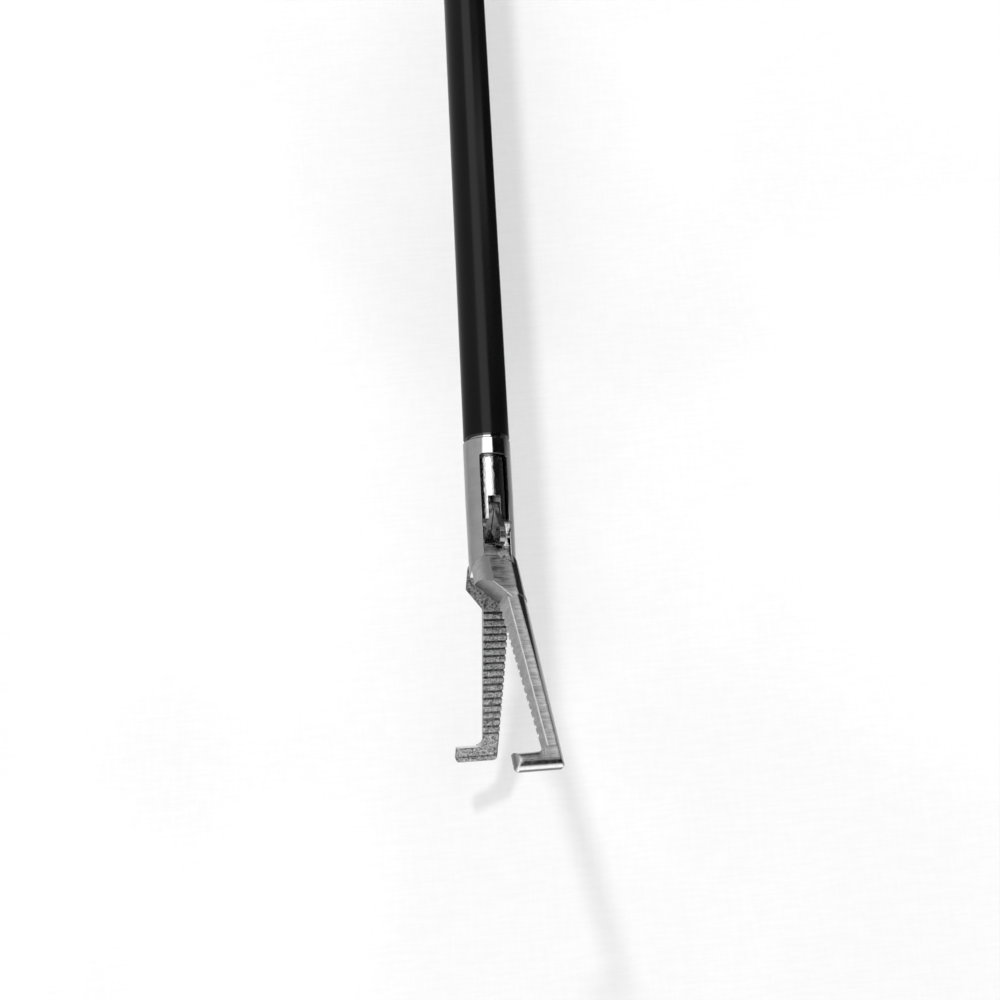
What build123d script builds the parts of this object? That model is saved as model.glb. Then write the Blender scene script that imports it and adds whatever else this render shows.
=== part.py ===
from build123d import *
import math
import os

# Grasping forceps, 5 mm, with right angle jaws, an insulated shaft and a ring handle.
# The origin is the centre of the insulation sleeve's distal end. The shaft runs along Y, with the
# jaws towards -Y and the handle towards +Y, and +Z is up. The instrument lies on its side, jaws open.

# Driving dimensions, in millimetres and degrees

# Jaw set
tool_radius = 2.5            # clevis and closed jaws fill this circle
jaw_roll = 17.7              # turn of the jaw set about the shaft, as it lies
jaw_open = 27.0              # each jaw from closed to its stop
jaw_pivot_setback = 13.0     # sleeve end to jaw pivot
jaw_length = 22.45           # jaw pivot to the end of the foot
foot_length = 1.62           # along the jaw
foot_reach = 2.12            # from the middle plane to the foot's free end
foot_corner = 0.45
foot_round = 0.7             # rounding of the foot's back, along both long edges
foot_end_round = 0.6
inner_corner = 0.45
arm_inner_start = 0.45       # inner side of the arm beside the shoulder
arm_inner_end = -0.78        # inner side of the arm beside the foot
shoulder_end = 3.2           # where the full width ends
arm_start = 5.48             # where the arm's inner side begins
arm_radius = 2.43            # round outside of the arm
arm_flare = 0.9              # that round leans outwards to the foot
arm_slant = 2.5              # of that round to the jaw's axis
arm_draft = 10.0             # of the arm's inner side, narrower towards the back
grip_gap_base = 0.34         # closed jaws stand apart here, and meet at the foot
grip_gap_tip = 0.03
back_hub = 2.25              # flat back over the pivot
back_step = 4.6              # where the back steps up to the arm
back_start = 2.3
back_end = 1.0
tooth_pitch = 0.8
tooth_count = 17
tooth_first = 5.65
tooth_depth = 0.2
tooth_groove = 0.26
foot_groove = 0.16
foot_groove_depth = 0.1

# Pivots and links
pivot_pin_radius = 0.75
running_gap = 0.05
seat_gap = 0.01
slot_width = 2.8             # slot through the clevis
side_gap = 0.04              # between plates that slide on each other
hub_radius = 1.85
hub_gap = 0.1
tail_hole_distance = 3.1     # jaw pivot to tail rivet
tail_hole_angle = 13.0       # of that line to the shaft, jaws closed
tail_length = 4.4
tail_front = 1.12
tail_rear = 0.65
tail_corner = 0.45
tail_inner = 0.64            # tail plate, from the middle plane
tail_outer = 1.34
rivet_radius = 0.42
rivet_recess_radius = 1.15
rivet_recess_depth = 0.4
link_length = 3.4
link_radius = 1.12
link_inner = 0.02
link_outer = 0.6
link_play = 0.17             # of the rivet in the link's hole

# Clevis
clevis_gap = 0.4             # bare tube between sleeve and clevis
clevis_window = 2.25         # sleeve end to the slot's end
window_corner = 0.25
slot_chamfer = 0.1
floor_start = 2.1            # under its right half the slot has a floor, from here behind the pivot
floor_depth = 1.05           # of that floor below the middle plane
clevis_tip = 1.65            # ear tips past the jaw pivot
clevis_tip_radius = 2.42
stop_gap = 0.1               # jaw shoulders to the ears, jaws open
chamber_radius = 1.86
chamber_start = 0.75
chamber_end = 9.3
neck_length = 7.6

# Push rod
head_radius = 1.8
head_start = 2.2
head_slot = 1.28
head_tip = 1.0               # yoke pin to the prongs' ends
head_tip_round = 1.2
rod_radius = 0.9
rod_bore_gap = 0.1
yoke_pin_radius = 0.5
ball_radius = 2.2
ball_stem = 4.0

# Shaft
shaft_length = 285.0         # sleeve end to the knob
tube_radius = 2.05
tube_bore = 1.75
sleeve_radius = 2.43

# Rotation knob and bearing
knob_radius = 15.0
knob_length = 26.0
knob_nose = 7.0
knob_rear = 11.0
knob_flutes = 12
flute_radius = 4.2
hub_sleeve_radius = 4.0
hub_lead = 1.0               # hub ahead of the flush port's collar
journal_radius = 5.0
journal_length = 13.0
flange_radius = 6.4
flange_length = 3.0
bearing_gap = 0.05
face_gap = 0.4
seal_section = 0.9

# Flush port
port_setback = 12.0
port_radius = 2.6
port_height = 6.4            # above the hub
port_bore = 1.1
port_collar = 5.4
cap_radius = 3.6
cap_height = 4.5
cap_wall = 0.9

# Handle
handle_roll = 7.5            # tilt of the rings towards the table
barrel_radius = 9.2
rear_wall = 6.0              # solid end of the barrel behind the lever's slot
barrel_nose = 8.2
barrel_tail = 6.5
shell_gap = 0.05
ring_half = 4.0              # half thickness of rings and arms
ring_wall = 5.5
ring_edge = 1.6
arm_corner = 3.0
ring_far_edge = 82.5         # both rings end this far from the shaft
finger_hole_length = 34.0
finger_hole_width = 24.0
finger_ring_setback = 10.0   # from the handle's front face
thumb_hole_length = 27.0
thumb_hole_width = 25.0
thumb_ring_setback = 66.0
lever_drop = 6.0             # lever pivot below the shaft
lever_setback = 31.0         # lever pivot behind the handle's front face
lever_half = 2.5
lever_back = 11.0            # rear edge of the lever's arm, behind the pivot, outside the barrel
lever_slot_gap = 0.2
lever_hub_radius = 5.2
lever_pin_radius = 2.0
fork_height = 5.0
fork_wall = 3.2
contact_setback = 20.5
contact_radius = 2.0
contact_length = 20.0
contact_seat_radius = 2.5    # its thicker end inside the handle
contact_boss = 4.2
boss_height = 2.0
plunger_radius = 1.2
screw_radius = 1.0
screw_head = 1.65
screw_head_height = 1.3
screw_seat = 2.4
screw_depth = 4.5

# Derived places
pivot_y = -jaw_pivot_setback
tail_y = tail_hole_distance * math.cos(math.radians(tail_hole_angle))
tail_z = tail_hole_distance * math.sin(math.radians(tail_hole_angle))
open_tail = math.radians(tail_hole_angle + jaw_open)
link_tilt = math.degrees(math.asin(tail_hole_distance * math.sin(open_tail) / link_length))
yoke_setback = tail_hole_distance * math.cos(open_tail)
yoke_setback += link_length * math.cos(math.radians(link_tilt))
link_tilt_closed = math.degrees(math.asin(tail_z / link_length))
yoke_closed = tail_y + link_length * math.cos(math.radians(link_tilt_closed))
rod_travel = yoke_closed - yoke_setback
lever_travel = math.degrees(rod_travel / lever_drop)
fork_swing = (ball_radius + fork_wall) * math.sin(math.radians(lever_travel))
arm_swing = barrel_radius * math.sin(math.radians(lever_travel))
half_slot = slot_width / 2
half_turn = 180.0
reach = 4 * tool_radius      # past every edge of the jaw set
knob_front = shaft_length
knob_back = knob_front + knob_length
handle_front = knob_back + face_gap
ball_y = handle_front + lever_setback
slot_back = ball_y + 0.65 * lever_back + arm_swing
handle_back = slot_back + rear_wall
contact_y = handle_front + contact_setback
flange_front = knob_back + journal_length
flange_back = flange_front + flange_length

# Frames: the jaw set is rolled about the shaft, and so is the handle
tool = Rot(0, jaw_roll, 0)
pivot = tool * Pos(0, pivot_y, 0)
yoke = pivot * Pos(0, yoke_setback, 0)
upper_place = pivot * Rot(-jaw_open, 0, 0)
lower_place = pivot * Rot(jaw_open, 0, 0) * Rot(0, half_turn, 0)
grip = Rot(0, handle_roll, 0)


def placed(place, plane):
    """The plane as it stands in the frame of place."""
    return Plane(place * plane.location)


def across(place, x):
    """Plane square to a pivot, x from the middle, that reads (along the shaft, height)."""
    return placed(place, Plane(origin=(x, 0, 0), x_dir=(0, 1, 0), z_dir=(1, 0, 0)))


grip_plane = placed(grip, Plane.XY)


# Jaw arm in the jaw's own frame, closed: shoulder, arm and foot, with the arm on the right
side_face = across(Pos(0, 0, 0), -reach)
low_plan = Plane.XY.offset(-tool_radius / 2)
with BuildPart() as jaw_arm:
    # Full width shoulder, and the arm's width down to the foot
    with BuildSketch(low_plan) as arm_plan:
        with BuildLine():
            Polyline(
                (reach, 1),
                (-reach, 1),
                (-reach, -arm_start),
                (-foot_reach, -arm_start),
                (-foot_reach, -jaw_length),
                (tool_radius, -jaw_length),
                (tool_radius, -arm_start),
                (reach, -arm_start),
                close=True,
            )
        make_face()
        fillet(arm_plan.vertices().filter_by(lambda v: v.Y < -jaw_length + 0.01), foot_corner)
    extrude(amount=reach)
    # Slanted wall and inner side of the arm, drafted so that the jaw is narrower towards its back
    foot_y = -jaw_length + foot_length
    wall_rise = (arm_start - shoulder_end) / (tool_radius - arm_inner_start)
    with BuildSketch(Plane.XY) as inner_plan:
        with BuildLine():
            Polyline(
                (-arm_inner_start, -arm_start),
                (-reach, -arm_start + wall_rise * (reach - arm_inner_start)),
                (-reach, foot_y),
                (-arm_inner_end, foot_y),
                close=True,
            )
        make_face()
        fillet(inner_plan.vertices().filter_by(lambda v: abs(v.X + arm_inner_end) < 0.01), inner_corner)
    extrude(amount=tool_radius, taper=-arm_draft, mode=Mode.SUBTRACT)
    # Rounded outside of the closed jaws
    with BuildSketch(Plane.XZ.offset(-reach)):
        Circle(tool_radius)
    extrude(amount=jaw_length + 2 * reach, mode=Mode.INTERSECT)
    # Outer side of the arm, ground at a slant
    with BuildSketch(placed(Pos(0, -arm_start, 0) * Rot(arm_slant, 0, arm_flare), Plane.XZ)):
        with Locations((reach, 0)):
            Rectangle(2 * reach, 4 * reach)
        Circle(arm_radius, mode=Mode.SUBTRACT)
    extrude(amount=jaw_length, mode=Mode.SUBTRACT)
    # Flat back, stepped over the pivot and then falling to the foot
    with BuildSketch(side_face):
        with BuildLine():
            Polyline(
                (reach, back_hub),
                (-back_step, back_hub),
                (-back_step, back_start),
                (-jaw_length, back_end),
                (-jaw_length - 1, back_end),
                (-jaw_length - 1, reach),
                (reach, reach),
                close=True,
            )
        make_face()
    extrude(amount=2 * reach, mode=Mode.SUBTRACT)
    # Back of the foot, rounded along its far edge, along its near edge beside the arm, and at its end
    with BuildSketch(side_face):
        with Locations((-jaw_length, back_end)):
            Rectangle(2 * foot_round, 2 * foot_round)
        with Locations((-jaw_length + foot_round, back_end - foot_round)):
            Circle(foot_round, mode=Mode.SUBTRACT)
    extrude(amount=2 * reach, mode=Mode.SUBTRACT)
    with BuildSketch(side_face):
        with Locations((foot_y, back_end)):
            Rectangle(2 * foot_round, 2 * foot_round)
        with Locations((foot_y - foot_round, back_end - foot_round)):
            Circle(foot_round, mode=Mode.SUBTRACT)
    extrude(amount=reach - arm_inner_end - inner_corner, mode=Mode.SUBTRACT)
    with BuildSketch(Plane.XZ.offset(jaw_length + 1)):
        with Locations((-foot_reach, back_end)):
            Rectangle(2 * foot_end_round, 2 * foot_end_round)
        with Locations((-foot_reach + foot_end_round, back_end - foot_end_round)):
            Circle(foot_end_round, mode=Mode.SUBTRACT)
    extrude(amount=-foot_length - 2, mode=Mode.SUBTRACT)
    # Grip side, with its teeth and the foot's groove
    with BuildSketch(side_face):
        with BuildLine():
            Polyline(
                (reach, grip_gap_base),
                (-shoulder_end, grip_gap_base),
                (-jaw_length, grip_gap_tip),
                (-jaw_length - 1, grip_gap_tip),
                (-jaw_length - 1, -reach),
                (reach, -reach),
                close=True,
            )
        make_face()
    extrude(amount=2 * reach, mode=Mode.SUBTRACT)
    with BuildSketch(side_face):
        for index in range(tooth_count + 1):
            along = tooth_first + index * tooth_pitch
            fall = (along - shoulder_end) / (jaw_length - shoulder_end)
            face_z = grip_gap_base + fall * (grip_gap_tip - grip_gap_base)
            with Locations((-along, face_z)):
                Rectangle(tooth_groove, 2 * tooth_depth)
        with Locations((-jaw_length + foot_length * 0.38, grip_gap_tip)):
            Rectangle(foot_groove, 2 * foot_groove_depth)
    extrude(amount=2 * reach, mode=Mode.SUBTRACT)


def make_jaw(arm):
    """A whole jaw in its own frame: the arm, with hub and tail in the left half of the slot."""
    ear = (clevis_tip + stop_gap * math.sqrt(2)) * math.cos(math.radians(45))
    low = math.radians(45 - jaw_open)
    meet_z = (ear / math.cos(low) - ear * math.sqrt(2)) / (math.tan(low) - 1)
    meet_y = ear * math.sqrt(2) - meet_z
    top_y = (ear - reach * math.sin(low)) / math.cos(low)
    with BuildPart() as jaw:
        add(arm)
        # Shoulders that clear the ears and stop against them, open
        for start, amount in ((-half_slot + side_gap, -reach), (half_slot - side_gap, reach)):
            with BuildSketch(Plane.YZ.offset(start)):
                with BuildLine():
                    Polyline(
                        (reach, -reach),
                        (-ear * math.sqrt(2) - reach, -reach),
                        (-meet_y, meet_z),
                        (-top_y, reach),
                        (reach, reach),
                        close=True,
                    )
                make_face()
            extrude(amount=amount, mode=Mode.SUBTRACT)
        # Room for the other jaw's hub, and square shoulders inside the slot
        with BuildSketch(Plane.YZ.offset(-side_gap / 2)):
            Circle(hub_radius + hub_gap)
            with Locations((reach - hub_radius + 0.2, 0)):
                Rectangle(2 * reach, 2 * reach)
        extrude(amount=half_slot, mode=Mode.SUBTRACT)
        with BuildSketch(Plane.YZ.offset(-half_slot + side_gap)):
            with Locations((reach - hub_radius / 2, 0)):
                Rectangle(2 * reach, 2 * reach)
        extrude(amount=half_slot, mode=Mode.SUBTRACT)
        # Hub, and the tail that carries the link
        with BuildSketch(Plane.YZ.offset(-half_slot + side_gap)):
            Circle(hub_radius)
        extrude(amount=half_slot - 1.5 * side_gap)
        with BuildSketch(Plane.YZ.offset(-tail_outer)):
            with Locations((tail_length / 2, (tail_rear - tail_front) / 2)):
                RectangleRounded(tail_length, tail_front + tail_rear, tail_corner)
        extrude(amount=tail_outer - tail_inner)
        with BuildSketch(side_face):
            Circle(pivot_pin_radius + running_gap)
            with Locations((tail_y, -tail_z)):
                Circle(rivet_radius + seat_gap)
        extrude(amount=2 * reach, mode=Mode.SUBTRACT)
        # Hollow seat of the rivet's head
        ball = (rivet_recess_radius ** 2 + rivet_recess_depth ** 2) / (2 * rivet_recess_depth)
        with Locations((-tail_outer + rivet_recess_depth - ball, tail_y, -tail_z)):
            Sphere(ball, mode=Mode.SUBTRACT)
    return jaw


def make_link(place, low):
    """One link between the yoke pin and a tail rivet."""
    with BuildPart() as link:
        with BuildSketch(across(place, low)):
            with Locations(Location((-link_length / 2, 0))):
                SlotCenterToCenter(link_length, 2 * link_radius)
            Circle(yoke_pin_radius + running_gap, mode=Mode.SUBTRACT)
            with Locations((-link_length, 0)):
                Circle(rivet_radius + link_play, mode=Mode.SUBTRACT)
        extrude(amount=link_outer - link_inner)
    return link


def make_rivet(place):
    """Tail rivet: a shank through tail and link, its head sunk in the tail's hollow."""
    with BuildPart() as rivet:
        with BuildSketch(across(place, -tail_outer + rivet_recess_depth)):
            with Locations((tail_y, -tail_z)):
                Circle(rivet_radius)
        extrude(amount=tail_outer - rivet_recess_depth - link_inner)
        with BuildSketch(across(place, -tail_outer + rivet_recess_depth / 4)):
            with Locations((tail_y, -tail_z)):
                Circle(rivet_radius)
        extrude(amount=rivet_recess_depth * 0.75)
    return rivet


# Upper jaw, nearer the eye
with BuildPart() as upper_jaw:
    with Locations(upper_place):
        add(make_jaw(jaw_arm.part).part)
upper_jaw.part.label = "upper_jaw"

# Lower jaw, the mirrored arm on the same hub
with BuildPart() as lower_jaw:
    with Locations(lower_place):
        add(make_jaw(mirror(jaw_arm.part, about=Plane.YZ, mode=Mode.PRIVATE)).part)
lower_jaw.part.label = "lower_jaw"

# Links, each in its own half of the slot
upper_link_place = yoke * Rot(link_tilt, 0, 0)
upper_link = make_link(upper_link_place, -link_outer)
upper_link.part.label = "upper_link"

lower_link_place = yoke * Rot(-link_tilt, 0, 0)
lower_link = make_link(lower_link_place, link_inner)
lower_link.part.label = "lower_link"

# Rivets that join the links to the jaw tails
upper_link_rivet = make_rivet(upper_place)
upper_link_rivet.part.label = "upper_link_rivet"

lower_link_rivet = make_rivet(lower_place)
lower_link_rivet.part.label = "lower_link_rivet"

def on_slot_rim(edge):
    """Whether an edge of the clevis runs along the slot, on the outside."""
    spots = [tool.inverse() * Pos(*(edge @ part)) for part in (0.1, 0.5, 0.9)]
    outside = all(math.hypot(spot.position.X, spot.position.Z) > clevis_tip_radius - 0.02 for spot in spots)
    beside = all(abs(spot.position.X) < half_slot + 0.02 for spot in spots)
    above = all(spot.position.Z > 0 for spot in spots)
    return outside and beside and above and spots[1].position.Y > tip_y + 0.02


# Clevis: slotted nose with pointed ears, its neck plugged into the tube
tool_side = across(tool, 0)
tip_y = pivot_y - clevis_tip
with BuildPart() as clevis:
    with BuildSketch(placed(tool, Plane.XY)):
        with BuildLine():
            Polyline(
                (rod_radius + rod_bore_gap, neck_length),
                (tube_bore - seat_gap, neck_length),
                (tube_bore - seat_gap, -clevis_gap),
                (tool_radius - 0.1, -clevis_gap),
                (tool_radius, -clevis_gap - 0.1),
                (tool_radius, pivot_y / 2),
                (clevis_tip_radius, tip_y),
                (chamber_radius * 0.5, tip_y),
                (chamber_radius * 0.5, -chamber_end),
                (chamber_radius, -chamber_end),
                (chamber_radius, -chamber_start),
                (rod_radius + rod_bore_gap, -chamber_start),
                close=True,
            )
        make_face()
    revolve(axis=Axis((0, 0, 0), (0, 1, 0)))
    with BuildSketch(placed(tool, Plane.XY.offset(-floor_depth))):
        with Locations((0, -clevis_window - reach)):
            RectangleRounded(slot_width, 2 * reach, window_corner)
    extrude(amount=reach + floor_depth, mode=Mode.SUBTRACT)
    with BuildSketch(placed(tool, Plane.XY)):
        with Locations((0, pivot_y + floor_start - reach)):
            Rectangle(slot_width, 2 * reach)
        with Locations((-half_slot / 2, -clevis_window - reach)):
            RectangleRounded(half_slot, 2 * reach, window_corner)
    extrude(amount=-reach, mode=Mode.SUBTRACT)
    slot_rims = clevis.edges().filter_by(on_slot_rim)
    chamfer(slot_rims, slot_chamfer)
    with BuildSketch(tool_side):
        with BuildLine():
            Polyline((tip_y - 1, 0), (tip_y, 0), (tip_y + reach, reach), (tip_y - 1, reach), close=True)
        make_face()
        with BuildLine():
            Polyline((tip_y - 1, 0), (tip_y, 0), (tip_y + reach, -reach), (tip_y - 1, -reach), close=True)
        make_face()
        with Locations((pivot_y, 0)):
            Circle(pivot_pin_radius + seat_gap)
    extrude(amount=reach, both=True, mode=Mode.SUBTRACT)
clevis.part.label = "clevis"

# Jaw pivot pin, ground flush with the ears
with BuildPart() as jaw_pivot_pin:
    with BuildSketch(across(pivot, 0)):
        Circle(pivot_pin_radius)
    extrude(amount=tool_radius, both=True)
    with BuildSketch(placed(tool, Plane.XZ.offset(-pivot_y - reach))):
        Circle(clevis_tip_radius)
    extrude(amount=2 * reach, mode=Mode.INTERSECT)
jaw_pivot_pin.part.label = "jaw_pivot_pin"

# Rod head: a forked cylinder that slides in the clevis
yoke_y = pivot_y + yoke_setback
with BuildPart() as rod_head:
    with BuildSketch(placed(tool, Plane.XZ.offset(head_start))):
        Circle(head_radius)
    extrude(amount=-yoke_y - head_start + head_tip)
    with BuildSketch(across(tool, -reach)) as head_side:
        with Locations((yoke_y - head_tip + reach / 2, 0)):
            Rectangle(reach, 2 * head_radius)
        fillet(head_side.vertices().sort_by(Axis.Y)[:2], head_tip_round)
    extrude(amount=2 * reach, mode=Mode.INTERSECT)
    with BuildSketch(placed(tool, Plane.XY)):
        with Locations((0, yoke_y + link_radius + 0.25 - reach)):
            Rectangle(head_slot, 2 * reach)
    extrude(amount=reach, both=True, mode=Mode.SUBTRACT)
    with BuildSketch(tool_side):
        with Locations((yoke_y, 0)):
            Circle(yoke_pin_radius + seat_gap)
    extrude(amount=reach, both=True, mode=Mode.SUBTRACT)
rod_head.part.label = "rod_head"

# Yoke pin through the fork and both links
with BuildPart() as yoke_pin:
    with BuildSketch(across(yoke, 0)):
        Circle(yoke_pin_radius)
    extrude(amount=head_radius - 0.12, both=True)
yoke_pin.part.label = "yoke_pin"

# Push rod, from the head to the ball
with BuildPart() as push_rod:
    with BuildSketch(Plane.XZ.offset(head_start)):
        Circle(rod_radius)
    extrude(amount=-(ball_y - ball_stem) - head_start)
push_rod.part.label = "push_rod"

# Ball end, turned with its stem
with BuildPart() as rod_ball:
    with BuildSketch(Plane.XY):
        with BuildLine():
            stem_y = ball_y - math.sqrt(ball_radius ** 2 - rod_radius ** 2)
            Line((0, ball_y - ball_stem), (rod_radius, ball_y - ball_stem))
            Line((rod_radius, ball_y - ball_stem), (rod_radius, stem_y))
            ThreePointArc((rod_radius, stem_y), (ball_radius, ball_y), (0, ball_y + ball_radius))
            Line((0, ball_y + ball_radius), (0, ball_y - ball_stem))
        make_face()
    revolve(axis=Axis.Y)
rod_ball.part.label = "rod_ball"

# Steel tube of the shaft
port_y = shaft_length - port_setback
hub_front = port_y - port_collar - hub_lead
tube_back = knob_back + journal_length / 2
with BuildPart() as shaft_tube:
    with BuildSketch(Plane.XZ.offset(clevis_gap)):
        Circle(tube_radius)
        Circle(tube_bore, mode=Mode.SUBTRACT)
    extrude(amount=-tube_back - clevis_gap)
shaft_tube.part.label = "shaft_tube"

# Insulation sleeve, pushed over the tube up to the hub
with BuildPart() as insulation_sleeve:
    with BuildSketch(Plane.XY):
        with BuildLine():
            Polyline(
                (tube_radius + seat_gap, 0),
                (sleeve_radius, 0),
                (sleeve_radius, hub_front),
                (tube_radius + seat_gap, hub_front),
                close=True,
            )
        make_face()
    revolve(axis=Axis.Y)
insulation_sleeve.part.label = "insulation_sleeve"

# Hub: carries the knob in front and turns in the handle behind
with BuildPart() as shaft_hub:
    with BuildSketch(Plane.XY):
        with BuildLine():
            Polyline(
                (tube_radius + seat_gap, hub_front),
                (hub_sleeve_radius, hub_front),
                (hub_sleeve_radius, knob_back),
                (journal_radius, knob_back),
                (journal_radius, flange_front),
                (flange_radius, flange_front),
                (flange_radius, flange_back),
                (rod_radius + seal_section + rod_bore_gap, flange_back),
                (rod_radius + seal_section + rod_bore_gap, flange_front),
                (rod_radius + rod_bore_gap, flange_front),
                (rod_radius + rod_bore_gap, tube_back),
                (tube_radius + seat_gap, tube_back),
                close=True,
            )
        make_face()
    revolve(axis=Axis.Y)
shaft_hub.part.label = "shaft_hub"

# Seal ring between hub and push rod
with BuildPart() as rod_seal:
    with BuildSketch(Plane.XY):
        seal_x = rod_radius + running_gap + seal_section / 2
        with Locations((seal_x, flange_front + flange_length / 2)):
            Circle(seal_section / 2)
    revolve(axis=Axis.Y)
rod_seal.part.label = "rod_seal"

# Rotation knob with finger flutes
with BuildPart() as rotation_knob:
    with BuildSketch(Plane.XY):
        with BuildLine():
            Polyline(
                (hub_sleeve_radius + seat_gap, knob_front),
                (knob_nose - 1, knob_front),
                (knob_nose, knob_front + 1),
            )
            Spline(
                (knob_nose, knob_front + 1),
                (knob_nose + 3, knob_front + 4.5),
                (knob_radius, knob_front + 11),
                tangents=((0.4, 1), (0.1, 1)),
            )
            Polyline(
                (knob_radius, knob_front + 11),
                (knob_radius, knob_back - 2.5),
                (knob_radius - 1.2, knob_back - 1.2),
                (knob_rear, knob_back),
                (hub_sleeve_radius + seat_gap, knob_back),
                (hub_sleeve_radius + seat_gap, knob_front),
            )
        make_face()
    revolve(axis=Axis.Y)
    with BuildSketch(Plane.XZ.offset(-knob_front - 5)):
        with PolarLocations(knob_radius + flute_radius * 0.62, knob_flutes):
            Circle(flute_radius)
    extrude(amount=-knob_length, mode=Mode.SUBTRACT)
rotation_knob.part.label = "rotation_knob"

# Flush port on a collar round the hub, with its cap
port_place = Pos(0, port_y, 0)
with BuildPart() as flush_port:
    with BuildSketch(Plane.XZ.offset(-port_y + port_collar)):
        Circle(port_collar)
    extrude(amount=-2 * port_collar)
    with BuildSketch(placed(port_place, Plane.XY)):
        Circle(port_radius)
    extrude(amount=hub_sleeve_radius + port_height)
    with BuildSketch(placed(port_place, Plane.XY.offset(hub_sleeve_radius))):
        Circle(port_bore)
    extrude(amount=port_height, mode=Mode.SUBTRACT)
    with BuildSketch(Plane.XZ.offset(-port_y + port_collar)):
        Circle(hub_sleeve_radius + seat_gap)
    extrude(amount=-2 * port_collar, mode=Mode.SUBTRACT)
flush_port.part.label = "flush_port"

cap_z = hub_sleeve_radius + port_height - cap_height + cap_wall
with BuildPart() as flush_cap:
    with BuildSketch(placed(port_place, Plane.XY.offset(cap_z))):
        Circle(cap_radius)
    extrude(amount=cap_height)
    with BuildSketch(placed(port_place, Plane.XY.offset(cap_z))):
        Circle(port_radius + seat_gap)
    extrude(amount=cap_height - cap_wall, mode=Mode.SUBTRACT)
    fillet(flush_cap.edges().group_by(Axis.Z)[-1], 0.5)
flush_cap.part.label = "flush_cap"


def barrel_blank(gap):
    """Closed profile of the handle's barrel, revolved about the shaft, grown by gap."""
    with BuildSketch(grip_plane) as profile:
        with BuildLine():
            Polyline(
                (0, handle_front),
                (barrel_nose + gap, handle_front),
                (barrel_radius + gap, handle_front + 2),
                (barrel_radius + gap, handle_back - 10),
                (barrel_tail + gap, handle_back - 2),
                (barrel_tail - 2 + gap, handle_back + gap),
                (0, handle_back + gap),
                close=True,
            )
        make_face()
    return profile


contact_depth = contact_length + barrel_radius - fork_height - 2
contact_origin = (-barrel_radius - contact_length, contact_y, 0)
contact_plane = placed(grip, Plane(origin=contact_origin, x_dir=(0, 1, 0), z_dir=(-1, 0, 0)))
boss_plane = contact_plane.offset(-contact_length + boss_height)
screw_places = (
    (-barrel_radius + 2.4, handle_front + 5),
    (barrel_radius - 2.4, handle_front + 5),
    (-3.5, handle_back - 0.55 * rear_wall),
    (3.5, handle_back - 0.55 * rear_wall),
)

# What both handle halves leave free: bearing, flange pocket, lever slot, pin seats
with BuildPart() as handle_cavity:
    with BuildSketch(Plane.XZ.offset(-handle_front)):
        Circle(journal_radius + bearing_gap)
    extrude(amount=-(flange_front - handle_front))
    with BuildSketch(Plane.XZ.offset(-flange_front + running_gap)):
        Circle(flange_radius + 4 * bearing_gap)
    extrude(amount=-flange_length - 4 * running_gap)
    with BuildSketch(grip_plane):
        with BuildLine():
            Polyline(
                (-fork_height - 2, flange_back - 1),
                (reach + 3, flange_back - 1),
                (4 * reach, handle_front + 14),
                (4 * reach, slot_back + 1.6 * reach),
                (reach, slot_back),
                (-fork_height - 2, slot_back),
                close=True,
            )
        make_face()
    extrude(amount=lever_half + lever_slot_gap, both=True)
    with BuildSketch(grip_plane):
        with Locations((lever_drop, ball_y)):
            Circle(lever_pin_radius + seat_gap)
    extrude(amount=barrel_radius, both=True)
    with BuildSketch(boss_plane):
        Circle(contact_seat_radius + seat_gap)
    extrude(amount=-contact_depth + contact_length - boss_height)

finger_x = ring_far_edge - ring_wall - finger_hole_length / 2
finger_y = handle_front + finger_ring_setback
thumb_x = ring_far_edge - ring_wall - thumb_hole_length / 2
thumb_y = handle_front + thumb_ring_setback

# Handle body: lower half of the barrel, the arm and the finger ring
with BuildPart() as handle_body:
    with BuildSketch(grip_plane) as body_plan:
        with Locations((finger_x, finger_y)):
            SlotOverall(finger_hole_length + 2 * ring_wall, finger_hole_width + 2 * ring_wall)
        with BuildLine():
            Polyline(
                (0, handle_front + 2),
                (barrel_radius + 6, handle_front + 3),
                (finger_x - finger_hole_length / 2 + 4, finger_y - 11),
                (finger_x - finger_hole_length / 2 + 4, finger_y + 11),
                (barrel_radius + 8, handle_front + 17),
                (0, handle_front + 22),
                close=True,
            )
        make_face()
        corners = body_plan.vertices().filter_by(lambda v: barrel_radius + 5 < v.X < finger_x - 6)
        fillet(corners, arm_corner)
        with Locations((finger_x, finger_y)):
            SlotOverall(finger_hole_length, finger_hole_width, mode=Mode.SUBTRACT)
    extrude(amount=ring_half, both=True)
    rims = handle_body.edges().filter_by(
        lambda e: abs(abs(grip_plane.to_local_coords(e.center()).Z) - ring_half) < 0.01
    )
    fillet(rims, ring_edge)
    add(revolve(barrel_blank(0).sketch, axis=Axis.Y, mode=Mode.PRIVATE))
    with BuildSketch(boss_plane):
        Circle(contact_boss)
    extrude(amount=-barrel_radius)
    upper_half = grip * Pos(0, (handle_front + handle_back) / 2, 0)
    lid = revolve(barrel_blank(shell_gap).sketch, axis=Axis.Y, mode=Mode.PRIVATE)
    add(
        lid & (upper_half * Pos(0, 0, barrel_radius) * Box(60, 80, 2 * barrel_radius, mode=Mode.PRIVATE)),
        mode=Mode.SUBTRACT,
    )
    with Locations(grip * Pos(-barrel_radius, contact_y, 0)):
        Box(
            2 * contact_boss,
            3 * contact_boss,
            contact_boss,
            align=(Align.CENTER, Align.CENTER, Align.MIN),
            mode=Mode.SUBTRACT,
        )
    add(handle_cavity.part, mode=Mode.SUBTRACT)
    with BuildSketch(grip_plane):
        with Locations(*screw_places):
            Circle(screw_radius)
    extrude(amount=-screw_depth, mode=Mode.SUBTRACT)
handle_body.part.label = "handle_body"

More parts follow.
